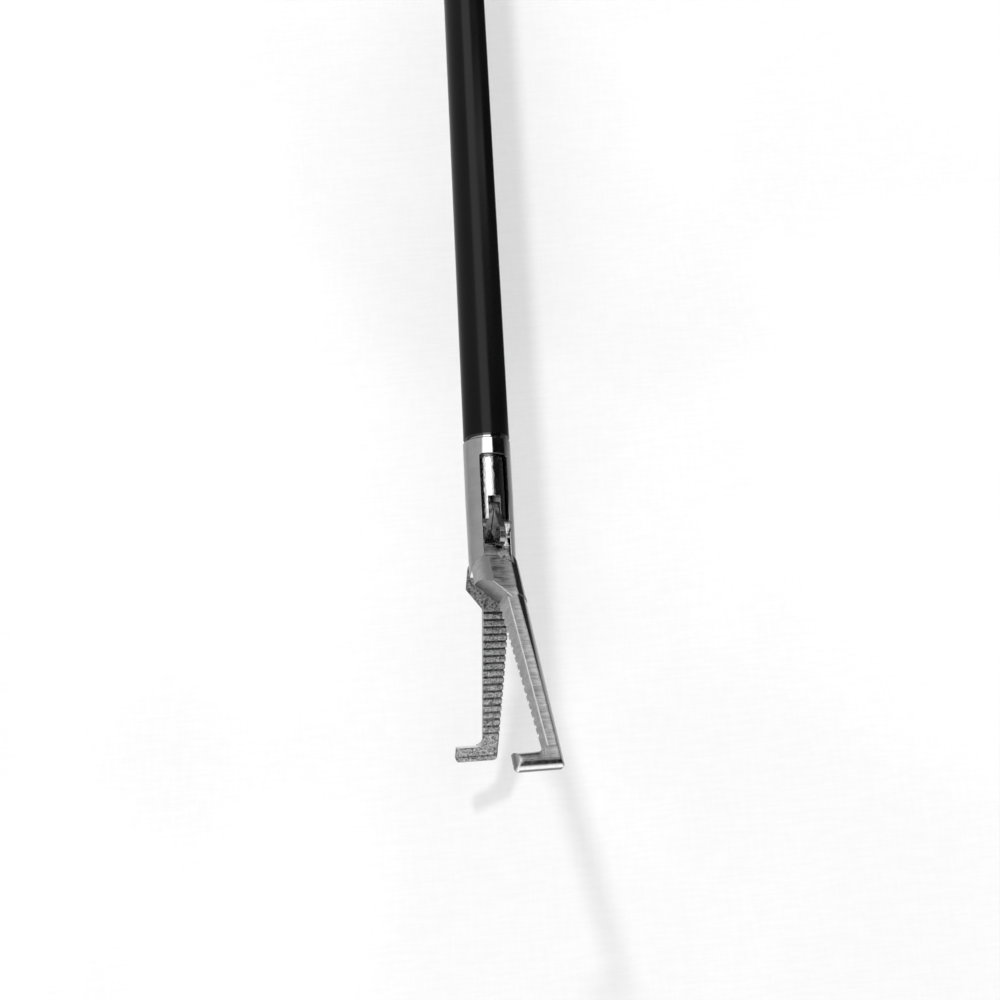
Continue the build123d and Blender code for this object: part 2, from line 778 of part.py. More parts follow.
# Handle cover: upper half of the barrel
with BuildPart() as handle_cover:
    add(revolve(barrel_blank(0).sketch, axis=Axis.Y, mode=Mode.PRIVATE))
    with BuildSketch(boss_plane):
        Circle(contact_boss)
    extrude(amount=-barrel_radius)
    with Locations(upper_half):
        Box(80, 80, 2 * barrel_radius, align=(Align.CENTER, Align.CENTER, Align.MAX), mode=Mode.SUBTRACT)
    add(handle_cavity.part, mode=Mode.SUBTRACT)
    with BuildSketch(grip_plane):
        with Locations(*screw_places):
            Circle(screw_radius + seat_gap)
    extrude(amount=barrel_radius, mode=Mode.SUBTRACT)
    with BuildSketch(grip_plane.offset(screw_seat)):
        with Locations(*screw_places):
            Circle(screw_head + running_gap)
    extrude(amount=barrel_radius, mode=Mode.SUBTRACT)
handle_cover.part.label = "handle_cover"

# Cover screws
with BuildPart() as cover_screws:
    with BuildSketch(grip_plane.offset(-screw_depth)):
        with Locations(*screw_places):
            Circle(screw_radius)
    extrude(amount=screw_depth + screw_seat)
    with BuildSketch(grip_plane.offset(screw_seat)):
        with Locations(*screw_places):
            Circle(screw_head)
    extrude(amount=screw_head_height)
cover_screws.part.label = "cover_screws"

# Thumb lever: ring, arm and the fork that moves the rod
with BuildPart() as thumb_lever:
    with BuildSketch(grip_plane) as lever_plan:
        with Locations((thumb_x, thumb_y)):
            SlotOverall(thumb_hole_length + 2 * ring_wall, thumb_hole_width + 2 * ring_wall)
        with BuildLine():
            Polyline(
                (barrel_radius + 7, ball_y + 1),
                (thumb_x - 20, thumb_y - 18),
                (thumb_x - 6, thumb_y - 10),
                (thumb_x - 12, thumb_y + 4),
                (3 * barrel_radius, ball_y + 2 * lever_back),
                (barrel_radius + 7, ball_y + lever_back),
                close=True,
            )
        make_face()
        corners = lever_plan.vertices().filter_by(lambda v: barrel_radius + 8 < v.X < thumb_x - 6)
        fillet(corners, arm_corner)
        with Locations((thumb_x, thumb_y)):
            SlotOverall(thumb_hole_length, thumb_hole_width, mode=Mode.SUBTRACT)
    extrude(amount=ring_half, both=True)
    rims = thumb_lever.edges().filter_by(
        lambda e: abs(abs(grip_plane.to_local_coords(e.center()).Z) - ring_half) < 0.01
    )
    fillet(rims, ring_edge)
    with BuildSketch(grip_plane):
        with BuildLine():
            Polyline(
                (lever_drop + 1, ball_y - lever_hub_radius + 1),
                (barrel_radius + 8, ball_y + 1),
                (barrel_radius + 10, ball_y + lever_back),
                (lever_drop - 2, ball_y + lever_hub_radius - 0.6),
                close=True,
            )
        make_face()
        with Locations((lever_drop, ball_y)):
            Circle(lever_hub_radius)
        with Locations((lever_drop / 2 - fork_height / 2, ball_y)):
            Rectangle(lever_drop + fork_height, 2 * (ball_radius + fork_wall))
        with Locations((lever_drop, ball_y)):
            Circle(lever_pin_radius + running_gap, mode=Mode.SUBTRACT)
        with Locations((-fork_height, ball_y)):
            Rectangle(2 * (fork_height + ball_radius + 0.3), 2 * (ball_radius + running_gap), mode=Mode.SUBTRACT)
    extrude(amount=lever_half, both=True)
    with BuildSketch(grip_plane):
        with Locations((-fork_height, ball_y - fork_wall - ball_radius)):
            Rectangle(2 * (fork_height + rod_radius + fork_swing + 0.3), 2 * fork_wall + 1)
    extrude(amount=rod_radius + 0.3, both=True, mode=Mode.SUBTRACT)
thumb_lever.part.label = "thumb_lever"

# Lever pin, headed below and riveted above
pin_half = math.sqrt(barrel_radius ** 2 - (lever_drop + lever_pin_radius) ** 2)
with BuildPart() as lever_pin:
    with BuildSketch(grip_plane):
        with Locations((lever_drop, ball_y)):
            Circle(lever_pin_radius)
    extrude(amount=pin_half, both=True)
    chamfer(lever_pin.edges().filter_by(GeomType.CIRCLE), 0.25)
lever_pin.part.label = "lever_pin"

# Connector pin for the current, clamped between the halves
with BuildPart() as connector_pin:
    with BuildSketch(contact_plane):
        Circle(contact_radius)
    extrude(amount=-contact_depth)
    with BuildSketch(boss_plane):
        Circle(contact_seat_radius)
    extrude(amount=-contact_depth + contact_length - boss_height)
    fillet(connector_pin.edges().sort_by(Axis.X)[0], 0.6)
connector_pin.part.label = "connector_pin"

# Contact plunger that bears on the push rod
with BuildPart() as contact_plunger:
    with BuildSketch(contact_plane.offset(-contact_depth)):
        Circle(plunger_radius)
    extrude(amount=-(fork_height + 2 - rod_radius - running_gap))
contact_plunger.part.label = "contact_plunger"

os.makedirs("parts", exist_ok=True)
export_step(upper_jaw.part, "parts/upper_jaw.step")
export_step(lower_jaw.part, "parts/lower_jaw.step")
export_step(upper_link.part, "parts/upper_link.step")
export_step(lower_link.part, "parts/lower_link.step")
export_step(upper_link_rivet.part, "parts/upper_link_rivet.step")
export_step(lower_link_rivet.part, "parts/lower_link_rivet.step")
export_step(clevis.part, "parts/clevis.step")
export_step(jaw_pivot_pin.part, "parts/jaw_pivot_pin.step")
export_step(rod_head.part, "parts/rod_head.step")
export_step(yoke_pin.part, "parts/yoke_pin.step")
export_step(push_rod.part, "parts/push_rod.step")
export_step(rod_ball.part, "parts/rod_ball.step")
export_step(shaft_tube.part, "parts/shaft_tube.step")
export_step(insulation_sleeve.part, "parts/insulation_sleeve.step")
export_step(shaft_hub.part, "parts/shaft_hub.step")
export_step(rod_seal.part, "parts/rod_seal.step")
export_step(rotation_knob.part, "parts/rotation_knob.step")
export_step(flush_port.part, "parts/flush_port.step")
export_step(flush_cap.part, "parts/flush_cap.step")
export_step(handle_body.part, "parts/handle_body.step")
export_step(handle_cover.part, "parts/handle_cover.step")
export_step(cover_screws.part, "parts/cover_screws.step")
export_step(thumb_lever.part, "parts/thumb_lever.step")
export_step(lever_pin.part, "parts/lever_pin.step")
export_step(connector_pin.part, "parts/connector_pin.step")
export_step(contact_plunger.part, "parts/contact_plunger.step")
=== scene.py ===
import bpy
import math
from mathutils import Matrix, Vector


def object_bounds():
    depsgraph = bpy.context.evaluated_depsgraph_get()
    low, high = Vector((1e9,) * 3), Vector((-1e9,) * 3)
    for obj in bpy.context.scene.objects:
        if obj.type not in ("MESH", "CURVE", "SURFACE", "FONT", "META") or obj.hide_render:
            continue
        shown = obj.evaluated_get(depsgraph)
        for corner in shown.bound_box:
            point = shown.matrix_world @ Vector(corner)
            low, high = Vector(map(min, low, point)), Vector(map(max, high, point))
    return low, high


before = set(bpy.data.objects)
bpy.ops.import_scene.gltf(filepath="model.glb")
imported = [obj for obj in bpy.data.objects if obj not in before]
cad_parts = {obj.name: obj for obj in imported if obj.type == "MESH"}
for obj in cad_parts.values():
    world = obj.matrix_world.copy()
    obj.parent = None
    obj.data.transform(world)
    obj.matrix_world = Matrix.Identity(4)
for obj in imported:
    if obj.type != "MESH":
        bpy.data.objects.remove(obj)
cad_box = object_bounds()

# Camera, at the photograph's viewing angle: close above the jaws, the shaft running up the picture.
# Its place is given from the jaw pivot, and its frame by the picture's right and up directions.
pivot = Vector((0.0, -0.013, 0.0))
camera_from_pivot = Vector((0.001103, -0.014552, 0.087697))
picture_right = Vector((0.998573, -0.051942, -0.012402))
picture_up = Vector((0.053402, 0.971273, 0.231899))
cam_data = bpy.data.cameras.new("camera")
cam_data.sensor_width = 36.0
cam_data.lens = 31.32
cam_data.clip_start = 0.005
cam_data.clip_end = 10.0
cam = bpy.data.objects.new("camera", cam_data)
cam_turn = Matrix((picture_right, picture_up, picture_right.cross(picture_up))).transposed()
cam.matrix_world = Matrix.Translation(pivot + camera_from_pivot) @ cam_turn.to_4x4()
bpy.context.scene.collection.objects.link(cam)
bpy.context.scene.camera = cam


# Cloth on the table: white woven cotton, laid flat under the handle's lowest point.
# Its threads are just visible, broad faint clouds of painted shade stand for its folds, and it
# carries the soft shadows.
def new_material(name, colour, metallic, roughness, specular):
    """A named node material with its shader's plain values set."""
    mat = bpy.data.materials.new(name)
    mat.use_nodes = True
    shader = mat.node_tree.nodes["Principled BSDF"]
    shader.inputs["Base Color"].default_value = (*colour, 1)
    shader.inputs["Metallic"].default_value = metallic
    shader.inputs["Roughness"].default_value = roughness
    shader.inputs["Specular IOR Level"].default_value = specular
    return mat, mat.node_tree, shader


def put(tree, kind, links=(), values=(), **settings):
    """One node: settings are its properties, values its unlinked inputs, links what feeds it."""
    node = tree.nodes.new(kind)
    for key, value in settings.items():
        setattr(node, key, value)
    for key, value in values:
        node.inputs[key].default_value = value
    for key, source in links:
        tree.links.new(source, node.inputs[key])
    return node


def in_millimetres(tree, origin, euler, flip=1):
    """The surface point in millimetres from origin and its normal, in a frame that is turned.

    The point is moved by the origin, turned back by the angles, divided by a thousandth, and its
    height is multiplied by flip, which is -1 where a piece is the mirror image of its pair.
    """
    coord = put(tree, "ShaderNodeTexCoord")
    spot = put(
        tree,
        "ShaderNodeMapping",
        [("Vector", coord.outputs["Object"])],
        [("Location", origin), ("Rotation", euler), ("Scale", (0.001, 0.001, 0.001 * flip))],
        vector_type="TEXTURE",
    )
    normal = put(
        tree,
        "ShaderNodeMapping",
        [("Vector", coord.outputs["Normal"])],
        [("Rotation", euler), ("Scale", (1, 1, flip))],
        vector_type="TEXTURE",
    )
    return spot.outputs[0], normal.outputs[0]


def noise(tree, spot, scale, stretch=(1, 1, 1), detail=3.0, rough=0.55):
    """Noise of so many cells per millimetre, squeezed along its axes by stretch, from 0 to 1."""
    squeezed = put(
        tree,
        "ShaderNodeMapping",
        [("Vector", spot)],
        [("Scale", tuple(scale * share for share in stretch))],
    )
    grain = put(
        tree,
        "ShaderNodeTexNoise",
        [("Vector", squeezed.outputs[0])],
        [("Scale", 1.0), ("Detail", detail), ("Roughness", rough)],
    )
    return grain.outputs["Fac"]


def span(tree, source, low, high, to_low=0.0, to_high=1.0, smooth=True):
    """A value taken from low..high to to_low..to_high, and held beyond them."""
    node = put(
        tree,
        "ShaderNodeMapRange",
        [("Value", source)],
        [("From Min", low), ("From Max", high), ("To Min", to_low), ("To Max", to_high)],
        interpolation_type="SMOOTHSTEP" if smooth else "LINEAR",
    )
    return node.outputs[0]


def varied(tree, grain, low, high, reach=0.2, smooth=True):
    """Noise taken to low..high: the part within reach of its middle, 0.5, is spread over them."""
    return span(tree, grain, 0.5 - reach, 0.5 + reach, low, high, smooth)


def maths(tree, operation, first, *others):
    """Values combined one after another; any of them may be a number."""
    result = first
    for other in others:
        node = put(tree, "ShaderNodeMath", operation=operation)
        for socket, value in zip(node.inputs, (result, other)):
            if isinstance(value, (int, float)):
                socket.default_value = value
            else:
                tree.links.new(value, socket)
        result = node.outputs[0]
    return result


def added(tree, *values):
    """The sum of the values."""
    return maths(tree, "ADD", *values)


def times(tree, *values):
    """The product of the values."""
    return maths(tree, "MULTIPLY", *values)


def grey(tree, value, shader, tint=(1.0, 1.0, 1.0)):
    """Feeds a grey value, tinted, to the shader's base colour."""
    channels = [(index, times(tree, value, share)) for index, share in enumerate(tint)]
    node = put(tree, "ShaderNodeCombineColor", channels)
    tree.links.new(node.outputs[0], shader.inputs["Base Color"])


def relief(tree, shader, height, depth_mm, edge_mm=0.0, radius=None):
    """Bump of a 0..1 height, over edges rounded by edge_mm, or by a radius in metres that varies."""
    bump = put(
        tree,
        "ShaderNodeBump",
        [("Height", height)],
        [("Strength", 1.0), ("Distance", depth_mm * 0.001)],
    )
    if edge_mm:
        edge = put(tree, "ShaderNodeBevel", (), [("Radius", edge_mm * 0.001)], samples=4)
        if radius:
            tree.links.new(radius, edge.inputs["Radius"])
        tree.links.new(edge.outputs[0], bump.inputs["Normal"])
    tree.links.new(bump.outputs[0], shader.inputs["Normal"])


def cotton_cloth():
    """White cotton: long threads both ways, and faint broad clouds of painted shade for its folds.
    """
    mat, tree, shader = new_material("table_cloth", (0.93, 0.93, 0.93), 0.0, 0.95, 0.05)
    thread_turn = 0.04
    spot, _ = in_millimetres(tree, (0, 0, 0), (0, 0, thread_turn))
    warp = noise(tree, spot, 1.0, (0.35, 3.2, 1), 2.0)
    weft = noise(tree, spot, 1.0, (3.2, 0.35, 1), 2.0)
    # Broad clouds of darker tone: painted shade standing in for the cloth's folds.
    painted_fold_shade = noise(tree, spot, 0.022, (1, 1, 1), 2.0)
    weave = added(tree, times(tree, warp, 0.6), times(tree, weft, 0.4))
    tone = added(
        tree,
        varied(tree, weave, -0.012, 0.012, 0.15),
        varied(tree, painted_fold_shade, 0.885, 0.94, 0.15),
    )
    grey(tree, tone, shader)
    relief(tree, shader, weave, 0.02)
    return mat


half_side = 2.0
floor_z = cad_box[0][2]
corners = [(x * half_side, y * half_side) for x, y in ((-1, -1), (1, -1), (1, 1), (-1, 1))]
cloth_mesh = bpy.data.meshes.new("table")
cloth_mesh.from_pydata([(x, y, floor_z) for x, y in corners], [], [(0, 1, 2, 3)])
cloth_mesh.materials.append(cotton_cloth())
table = bpy.data.objects.new("table", cloth_mesh)
bpy.context.scene.collection.objects.link(table)
table.visible_glossy = False

# Nose of the shaft: clevis, jaw pivot pin and tube, of stainless bar, turned, slotted and polished.
# The clevis's neck is plugged into the tube, and the pin is pressed through both of its ears.
# Turning leaves faint rings, polishing faint long marks, and the slot's own walls get painted shade.
jaw_roll = math.radians(17.7)
# Where the clevis's slot walls get painted shade, in millimetres: right of the slot's middle, and
# behind the ears' tips.
slot_middle_x = 0.45
slot_front_y = -11.5


def past(tree, value, place, blur):
    """A mask that is 0 short of a place and 1 past it, with blur to either side."""
    return span(tree, value, place - blur, place + blur)


def short_of(tree, value, place, blur):
    """A mask that is 1 short of a place and 0 past it, with blur to either side."""
    return span(tree, value, place - blur, place + blur, 1.0, 0.0)


def without(tree, mask, other):
    """A mask, taken away where the other mask is 1."""
    return times(tree, mask, maths(tree, "SUBTRACT", 1.0, other))


def turned_steel(name, tone, gloss, ring_share, edge_mm, tint=(1.0, 1.0, 1.0), lumps=0.0, painted_wall_shade=0.0):
    """Steel turned and polished about Y, a little uneven, with its edges rounded by edge_mm.

    Its marks are rings and long marks in the proportion ring_share to the rest. They move tone and
    gloss by a twentieth. lumps adds a coarse bump. The last argument takes that share of the tone,
    as painted shade, from the slot walls that face the tool's left side or its tip.
    """
    mat, tree, shader = new_material(name, (tone, tone, tone), 1.0, gloss, 0.5)
    spot, normal = in_millimetres(tree, (0, 0, 0), (0, jaw_roll, 0))
    rings = noise(tree, spot, 1.0, (0.3, 9.0, 0.3), 4.0, 0.7)
    long_marks = noise(tree, spot, 1.0, (7.0, 0.5, 7.0), 4.0, 0.65)
    patches = noise(tree, spot, 0.5, (1, 1, 1), 3.0)
    marks = added(tree, times(tree, rings, ring_share), times(tree, long_marks, 1.0 - ring_share))
    value = added(
        tree,
        varied(tree, marks, tone - 0.05, tone + 0.05, smooth=False),
        varied(tree, patches, -0.03, 0.03),
    )
    # Painted shade: tone taken from the left-facing walls right of the slot's middle and the walls
    # behind the ears' tips.
    if painted_wall_shade:
        place = put(tree, "ShaderNodeSeparateXYZ", [(0, spot)])
        facing = put(tree, "ShaderNodeSeparateXYZ", [(0, normal)])
        shaded_left_wall = times(
            tree,
            short_of(tree, facing.outputs["X"], -0.325, 0.125),
            past(tree, place.outputs["X"], slot_middle_x, 0.15),
        )
        shaded_front_wall = times(
            tree,
            short_of(tree, facing.outputs["Y"], -0.375, 0.125),
            past(tree, place.outputs["Y"], slot_front_y, 0.5),
        )
        walls = maths(tree, "MAXIMUM", shaded_left_wall, shaded_front_wall)
        value = without(tree, value, times(tree, walls, painted_wall_shade))
    grey(tree, value, shader, tint)
    rough = added(
        tree,
        varied(tree, marks, gloss - 0.04, gloss + 0.05),
        varied(tree, patches, -0.02, 0.03),
    )
    tree.links.new(rough, shader.inputs["Roughness"])
    height = marks
    if lumps:
        bumps = noise(tree, spot, 3.2, (1, 0.7, 1), 4.0, 0.7)
        height = added(tree, marks, times(tree, bumps, lumps))
    relief(tree, shader, height, 0.006, edge_mm)
    return mat


def finish(mat, *names):
    """Gives the named CAD pieces one material."""
    for name in names:
        slots = bpy.data.objects[name].data.materials
        slots.clear()
        slots.append(mat)


clevis_steel = turned_steel("clevis_steel", 0.58, 0.08, 0.35, 0.03, painted_wall_shade=0.94)
finish(clevis_steel, "clevis", "jaw_pivot_pin", "shaft_tube")

# Jaws: hardened stainless steel, two mirror images on one pin, each milled from one piece.
# The back is ground across, the grip face and the drafted inner side are spark eroded,
# and the round outside, the foot's back and the edges are polished by hand.
jaw_open = math.radians(27.0)
# Places on the jaw, in millimetres from its pivot: the foot is at -Y, the arm at +X, the back at +Z.
arm_end_y = -21.6
foot_side_y = -20.55
foot_reach_x = 0.65
arm_highlight_end_y = -20.7
back_lowest_z = 0.95
shoulder_edge_y = -5.85
shoulder_y = -5.1
slanted_wall_y = -6.9
slanted_wall_left_x = -1.2
groove_floor_z = 0.325
tail_y = 2.0
arm_inner_edge = ((-21.0, 0.99), (-5.0, -0.077))
round_side_from_edge = 0.5
# Radii of its edges, in metres: those that are only ground, and those of the round side and foot.
ground_edge = 0.00006
polished_edge = 0.0003


def mixed(tree, share, first, second):
    """first where share is 0, second where it is 1."""
    node = put(tree, "ShaderNodeMix", data_type="FLOAT")
    for index, value in ((0, share), (2, first), (3, second)):
        if isinstance(value, (int, float)):
            node.inputs[index].default_value = value
        else:
            tree.links.new(value, node.inputs[index])
    return node.outputs[0]


def jaw_faces(tree, spot, normal):
    """Masks of one jaw's faces, from its own frame: pivot at 0, foot at -Y, arm at +X, back at +Z.

    The arm's inner edge leans to the right towards the foot. A painted highlight line runs along
    that edge, and along the top of the slanted wall in front of the shoulder. That wall is a plane
    through (-0.45, -5.48, 0), and its distance is the sum of the three coordinates, each measured
    from that point and multiplied by its share of the plane's normal, with 10 degrees of draft.
    """
    place = put(tree, "ShaderNodeSeparateXYZ", [(0, spot)])
    facing = put(tree, "ShaderNodeSeparateXYZ", [(0, normal)])
    x, y, z = (place.outputs[axis] for axis in "XYZ")
    to_x, to_y, to_z = (facing.outputs[axis] for axis in "XYZ")

    foot_arm = times(
        tree,
        short_of(tree, x, foot_reach_x, 0.15),
        short_of(tree, y, foot_side_y, 0.15),
    )
    foot = maths(tree, "MAXIMUM", short_of(tree, y, arm_end_y, 0.3), foot_arm)

    (foot_y, foot_x), (root_y, root_x) = arm_inner_edge
    inner_edge = span(tree, y, foot_y, root_y, foot_x, root_x, False)
    from_edge = maths(tree, "SUBTRACT", x, inner_edge)
    from_highlight_line = maths(tree, "ABSOLUTE", maths(tree, "SUBTRACT", from_edge, 0.03), 0.0)
    arm_highlight_line = times(
        tree,
        short_of(tree, from_highlight_line, 0.05, 0.02),
        past(tree, z, back_lowest_z, 0.05),
        past(tree, y, arm_highlight_end_y, 0.2),
        short_of(tree, y, shoulder_edge_y, 0.15),
    )
    wall_distance = added(
        tree,
        times(tree, added(tree, x, 0.45), -0.744),
        times(tree, added(tree, y, 5.48), -0.669),
        times(tree, z, 0.1763),
    )
    wall_highlight_line = times(
        tree,
        short_of(tree, maths(tree, "ABSOLUTE", wall_distance, 0.0), 0.065, 0.025),
        past(tree, to_z, 0.6, 0.1),
        past(tree, x, slanted_wall_left_x, 0.2),
        past(tree, y, shoulder_edge_y, 0.15),
    )

    shoulder = past(tree, y, shoulder_y, 0.5)
    return {
        "from_edge": from_edge,
        "foot": foot,
        "foot_end": times(tree, foot, short_of(tree, to_y, -0.965, 0.025)),
        "foot_left": times(tree, foot, short_of(tree, to_x, -0.7, 0.2)),
        "back": without(tree, past(tree, to_z, 0.9675, 0.0125), foot),
        "painted_highlight_line": maths(tree, "MAXIMUM", arm_highlight_line, wall_highlight_line),
        "grip": short_of(tree, to_z, -0.7, 0.2),
        "groove": past(tree, z, groove_floor_z, 0.125),
        "side": without(tree, short_of(tree, to_x, -0.75, 0.15), foot),
        "slanted": times(
            tree,
            short_of(tree, to_y, -0.56, 0.06),
            past(tree, y, slanted_wall_y, 0.1),
        ),
        "slant_height": z,
        "shoulder": shoulder,
        "dome": times(tree, shoulder, short_of(tree, to_x, -0.35, 0.15)),
        "tail": past(tree, y, tail_y, 0.1),
    }


def jaw_steel(name, euler, flip):
    """Steel of one jaw: each face's tone, gloss and height, laid over each other by its mask.

    The ground back grows lighter away from its inner edge. The eroded faces are fine speckle, with
    painted shade darker in the grooves. The foot and the outside are smooth, with faint smears along
    the jaw. Painted shade darkens the shoulder, the dome, the lower slanted wall and the foot's
    ends, and a painted highlight lies along the crest lines and on the tail.
    """
    mat, tree, shader = new_material(name, (0.6, 0.6, 0.6), 1.0, 0.2, 0.5)
    spot, normal = in_millimetres(tree, pivot, euler, flip)
    face = jaw_faces(tree, spot, normal)

    marks = noise(tree, spot, 1.0, (0.55, 6.5, 0.55), 4.0, 0.7)
    fine = noise(tree, spot, 1.0, (1.2, 12.0, 1.2), 3.0, 0.7)
    blots = noise(tree, spot, 1.0, (1.0, 2.2, 1.0), 3.0, 0.6)
    smear = noise(tree, spot, 1.0, (2.5, 0.4, 2.5), 3.0)
    speckle = noise(tree, spot, 4.6, (1, 1, 1), 4.0, 0.75)
    pits = noise(tree, spot, 2.6, (1, 1, 1), 3.0, 0.7)

    # Painted shade: the ground back is darkened by 0.2 near the pivot, between the clevis ears.
    ground = added(
        tree,
        varied(tree, marks, -0.16, 0.16, smooth=False),
        varied(tree, fine, -0.1, 0.1, smooth=False),
        varied(tree, blots, -0.1, 0.1, 0.18),
        span(tree, face["from_edge"], 0.0, 1.1, 0.5, 0.82),
        times(tree, face["shoulder"], -0.2),
    )
    eroded = added(
        tree,
        varied(tree, speckle, 0.06, 0.56, 0.14, smooth=False),
        varied(tree, pits, -0.07, 0.07, 0.14),
    )
    # Painted shade: the eroded tone is darkened in the serration grooves, below the groove floor.
    eroded = maths(tree, "MAXIMUM", without(tree, eroded, times(tree, face["groove"], 0.7)), 0.02)
    drafted = added(
        tree,
        varied(tree, speckle, 0.54, 0.68, 0.14, smooth=False),
        varied(tree, blots, -0.07, 0.07),
    )
    # Painted shade: the slanted wall in front of the shoulder grows darker towards the grip face.
    shaded_slope = added(
        tree,
        span(tree, face["slant_height"], 0.3, 2.0, 0.1, 0.36),
        varied(tree, pits, -0.03, 0.03),
    )
    # Painted shade: the polished tone is lowered on the dome near the pivot, and dark outlines are
    # painted on the foot's end and left end.
    polished = added(
        tree,
        0.6,
        varied(tree, smear, -0.03, 0.03),
        times(tree, face["dome"], -0.2),
        times(tree, face["foot_end"], -0.5),
        times(tree, face["foot_left"], -0.25),
    )
    polished = maths(tree, "MAXIMUM", polished, 0.04)
    tone = mixed(tree, face["back"], polished, ground)
    tone = mixed(tree, face["side"], tone, drafted)
    tone = mixed(tree, face["slanted"], tone, shaded_slope)
    # Painted highlight: the crest lines along the arm's inner edge and the slanted wall get full
    # white tone.
    tone = mixed(tree, face["painted_highlight_line"], tone, 1.0)
    tone = mixed(tree, face["grip"], tone, eroded)
    # Painted highlight: the tail is given a bright speckled tone.
    tone = mixed(tree, face["tail"], tone, varied(tree, speckle, 0.62, 0.82, 0.15))
    grey(tree, tone, shader)

    sparked = maths(tree, "MAXIMUM", face["side"], face["grip"], face["slanted"])
    polished_gloss = varied(tree, smear, 0.13, 0.2)
    gloss = mixed(tree, face["back"], polished_gloss, varied(tree, marks, 0.34, 0.46))
    gloss = mixed(tree, sparked, gloss, 0.55)
    gloss = mixed(tree, face["painted_highlight_line"], gloss, 0.5)
    gloss = mixed(tree, face["tail"], gloss, 0.25)
    tree.links.new(gloss, shader.inputs["Roughness"])

    walls = maths(tree, "MAXIMUM", face["side"], face["slanted"])
    scratches = added(tree, times(tree, marks, 0.6), times(tree, fine, 0.25))
    height = mixed(tree, face["back"], times(tree, smear, 0.1), scratches)
    height = mixed(tree, walls, height, times(tree, speckle, 0.4))
    height = mixed(tree, face["tail"], height, times(tree, speckle, 0.15))
    height = mixed(tree, face["grip"], height, times(tree, speckle, 1.6))
    round_side = past(tree, face["from_edge"], round_side_from_edge, 0.1)
    soft_edge = maths(tree, "MAXIMUM", face["foot"], round_side)
    radius = span(tree, soft_edge, 0.0, 1.0, ground_edge, polished_edge, False)
    relief(tree, shader, height, 0.03, 0.07, radius)
    return mat


finish(jaw_steel("jaw_steel_upper", (-jaw_open, jaw_roll, 0), 1), "upper_jaw")
finish(jaw_steel("jaw_steel_lower", (jaw_open, jaw_roll, 0), -1), "lower_jaw")

# Links and their rivets: blanked from thin stainless strip and tumbled, so their edges are soft.
# Each rivet is headed in its jaw's tail, and both links hang on the yoke pin.
# Its low tone is painted shade for the links, which lie inside the clevis slot.
link_steel = turned_steel("link_steel", 0.3, 0.2, 0.2, 0.06, lumps=2.0)
finish(link_steel, "upper_link", "lower_link", "upper_link_rivet", "lower_link_rivet")

# Rod head, yoke pin, push rod and ball: bright drawn steel, the head forked for the links.
# The head is rubbed uneven where it slides in the clevis, so its highlight has ragged borders.
rod_steel = turned_steel("rod_steel", 0.6, 0.08, 0.6, 0.05, lumps=6.0)
finish(rod_steel, "rod_head", "yoke_pin", "push_rod", "rod_ball")


# Insulation sleeve: a black shrunk tube over the steel one, satin, with a very fine grain.
# It ends flush at the nose with a plain cut, and at the hub.
def dark_polymer(name, tone, gloss, grain_per_mm, grain_mm, edge_mm, specular):
    """Black polymer: fine moulded grain grain_mm high, a trace of dust, and uneven gloss."""
    mat, tree, shader = new_material(name, (tone, tone, tone), 0.0, gloss, specular)
    spot, _ = in_millimetres(tree, (0, 0, 0), (0, 0, 0))
    grain = noise(tree, spot, grain_per_mm, (1, 1, 1), 3.0, 0.7)
    cloud = noise(tree, spot, 0.15, (1, 0.4, 1), 3.0)
    dust = span(tree, noise(tree, spot, grain_per_mm * 1.6, (1, 1, 1), 2.0), 0.66, 0.8)
    value = added(
        tree,
        varied(tree, cloud, tone * 0.8, tone * 1.25),
        times(tree, dust, 0.02),
    )
    grey(tree, value, shader)
    rough = added(
        tree,
        varied(tree, grain, gloss - 0.06, gloss + 0.08),
        varied(tree, cloud, -0.04, 0.04),
    )
    tree.links.new(rough, shader.inputs["Roughness"])
    relief(tree, shader, grain, grain_mm, edge_mm)
    return mat


finish(dark_polymer("sleeve_black", 0.004, 0.19, 9.0, 0.0035, 0.05, 0.16), "insulation_sleeve")

# Hub with its flush port, screws, lever pin and connector pin: turned steel, left less bright.
# The port is brazed to the hub, and the pins are pressed or screwed into the handle.
hub_steel = turned_steel("hub_steel", 0.5, 0.3, 0.8, 0.12)
finish(hub_steel, "shaft_hub", "flush_port", "cover_screws", "lever_pin", "connector_pin")

# Knob, handle body, cover and thumb lever: glass filled black plastic from a spark textured mould.
# The knob turns with the hub, the lever on its pin, and the cover is held by four screws.
plastic_black = dark_polymer("plastic_black", 0.010, 0.4, 4.0, 0.02, 0.35, 0.4)
finish(plastic_black, "rotation_knob", "handle_body", "handle_cover", "thumb_lever")

# Rod seal and flush cap: moulded black rubber, duller and softer at its edges than the handle.
# The seal is pushed into the hub's rear end, and the cap over the port.
rubber_black = dark_polymer("rubber_black", 0.022, 0.62, 6.0, 0.012, 0.15, 0.4)
finish(rubber_black, "rod_seal", "flush_cap")

# Contact plunger: a small turned brass pin inside the connector, which touches the shaft's hub.
# It is only seen with the handle opened.
contact_brass = turned_steel("contact_brass", 0.75, 0.25, 0.5, 0.05, (1.0, 0.8, 0.45))
finish(contact_brass, "contact_plunger")

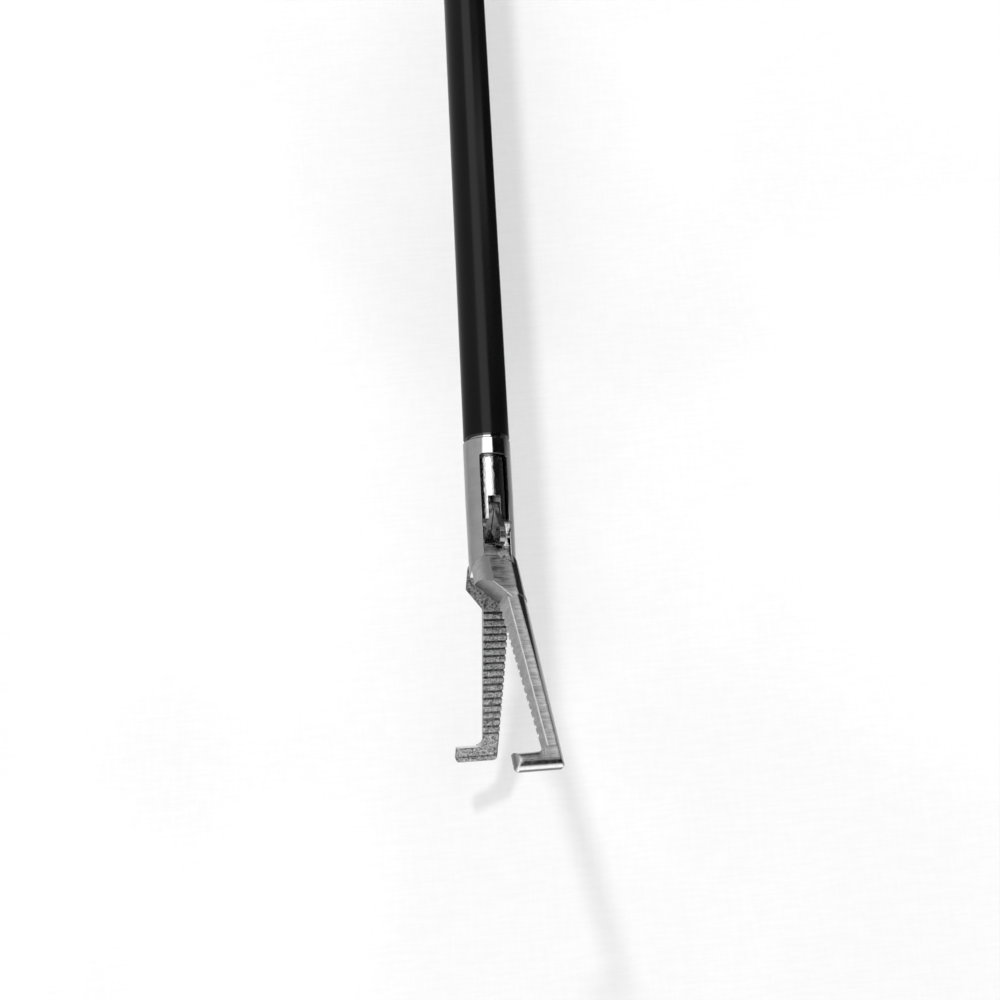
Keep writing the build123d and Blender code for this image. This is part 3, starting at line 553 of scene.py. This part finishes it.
# Studio room: even and white for everything but reflections, which see a lit studio instead.
# It is drawn round the shaft's axis: a soft box overhead, a dark side to its right, and pale cloth
# low on both sides. Towards the tip it is all bright, and towards the handle it is another ring.
tip_side = (
    (-180, 0.75), (-110, 0.42), (-50, 0.5), (-20, 0.58), (-14, 2.2), (25, 2.2), (29, 0.0),
    (88, 0.0), (100, 0.12), (135, 0.4), (160, 0.7), (180, 1.0),
)
handle_side = (
    (-180, 1.0), (-150, 0.7), (-50, 0.5), (-20, 0.55), (-14, 2.2), (25, 2.2), (29, 0.02),
    (148, 0.02), (158, 0.4), (172, 1.2), (180, 1.2),
)


def studio_ring(tree, turn_share, stops):
    """Brightness round the shaft's axis; each stop's angle is in degrees, 0 overhead, 90 right."""
    ramp = put(tree, "ShaderNodeValToRGB", [("Fac", turn_share)])
    elements = ramp.color_ramp.elements
    for index, (angle, brightness) in enumerate(stops):
        position = (angle + 180) / 360
        if index < 2:
            element = elements[index]
            element.position = position
        else:
            element = elements.new(position)
        element.color = (brightness, brightness, brightness, 1)
    return ramp.outputs["Color"]


world = bpy.data.worlds.new("studio")
bpy.context.scene.world = world
world.use_nodes = True
tree = world.node_tree
tree.nodes.clear()
coord = put(tree, "ShaderNodeTexCoord")
way = put(tree, "ShaderNodeSeparateXYZ", [(0, coord.outputs["Generated"])])
to_handle = way.outputs["Y"]
turn = maths(tree, "ARCTAN2", way.outputs["X"], way.outputs["Z"])
turn_share = span(tree, turn, -math.pi, math.pi, 0.0, 1.0, False)
left_or_top = short_of(tree, turn, math.radians(71), math.radians(9))
right_of_top = past(tree, turn, 0.3, 0.1)
strip = times(
    tree,
    past(tree, to_handle, 0.52, 0.02),
    short_of(tree, to_handle, 0.62, 0.02),
    left_or_top,
    right_of_top,
)
far_behind = times(tree, past(tree, to_handle, 0.73, 0.05), left_or_top)
studio = mixed(
    tree,
    past(tree, to_handle, 0.31, 0.03),
    studio_ring(tree, turn_share, tip_side),
    studio_ring(tree, turn_share, handle_side),
)
studio = mixed(tree, far_behind, studio, 0.5)
studio = mixed(tree, strip, studio, 1.5)
studio = mixed(tree, short_of(tree, to_handle, -0.65, 0.2), studio, 1.6)
mirrored = put(tree, "ShaderNodeBackground", [("Color", studio)], [("Strength", 1.0)])
even = put(tree, "ShaderNodeBackground", (), [("Color", (1, 1, 1, 1)), ("Strength", 0.92)])
ray = put(tree, "ShaderNodeLightPath")
both = put(
    tree,
    "ShaderNodeMixShader",
    [(0, ray.outputs["Is Glossy Ray"]), (1, even.outputs[0]), (2, mirrored.outputs[0])],
)
put(tree, "ShaderNodeOutputWorld", [("Surface", both.outputs[0])])

# Key light: a soft round lamp above, left of the shaft and behind the jaws.
# It throws the faint shadows of the feet down and to the right, as in the photograph.
key_from_pivot = Vector((-0.167, 0.61, 0.6))
key_data = bpy.data.lights.new("key", "AREA")
key_data.shape = "DISK"
key_data.size = 0.09
key_data.energy = 2.2
key = bpy.data.objects.new("key", key_data)
key.location = pivot + key_from_pivot
key.rotation_euler = (pivot - key.location).to_track_quat("-Z", "Y").to_euler()
key.visible_glossy = False
bpy.context.scene.collection.objects.link(key)

# Picture: plain colours.
bpy.context.scene.view_settings.view_transform = "Standard"
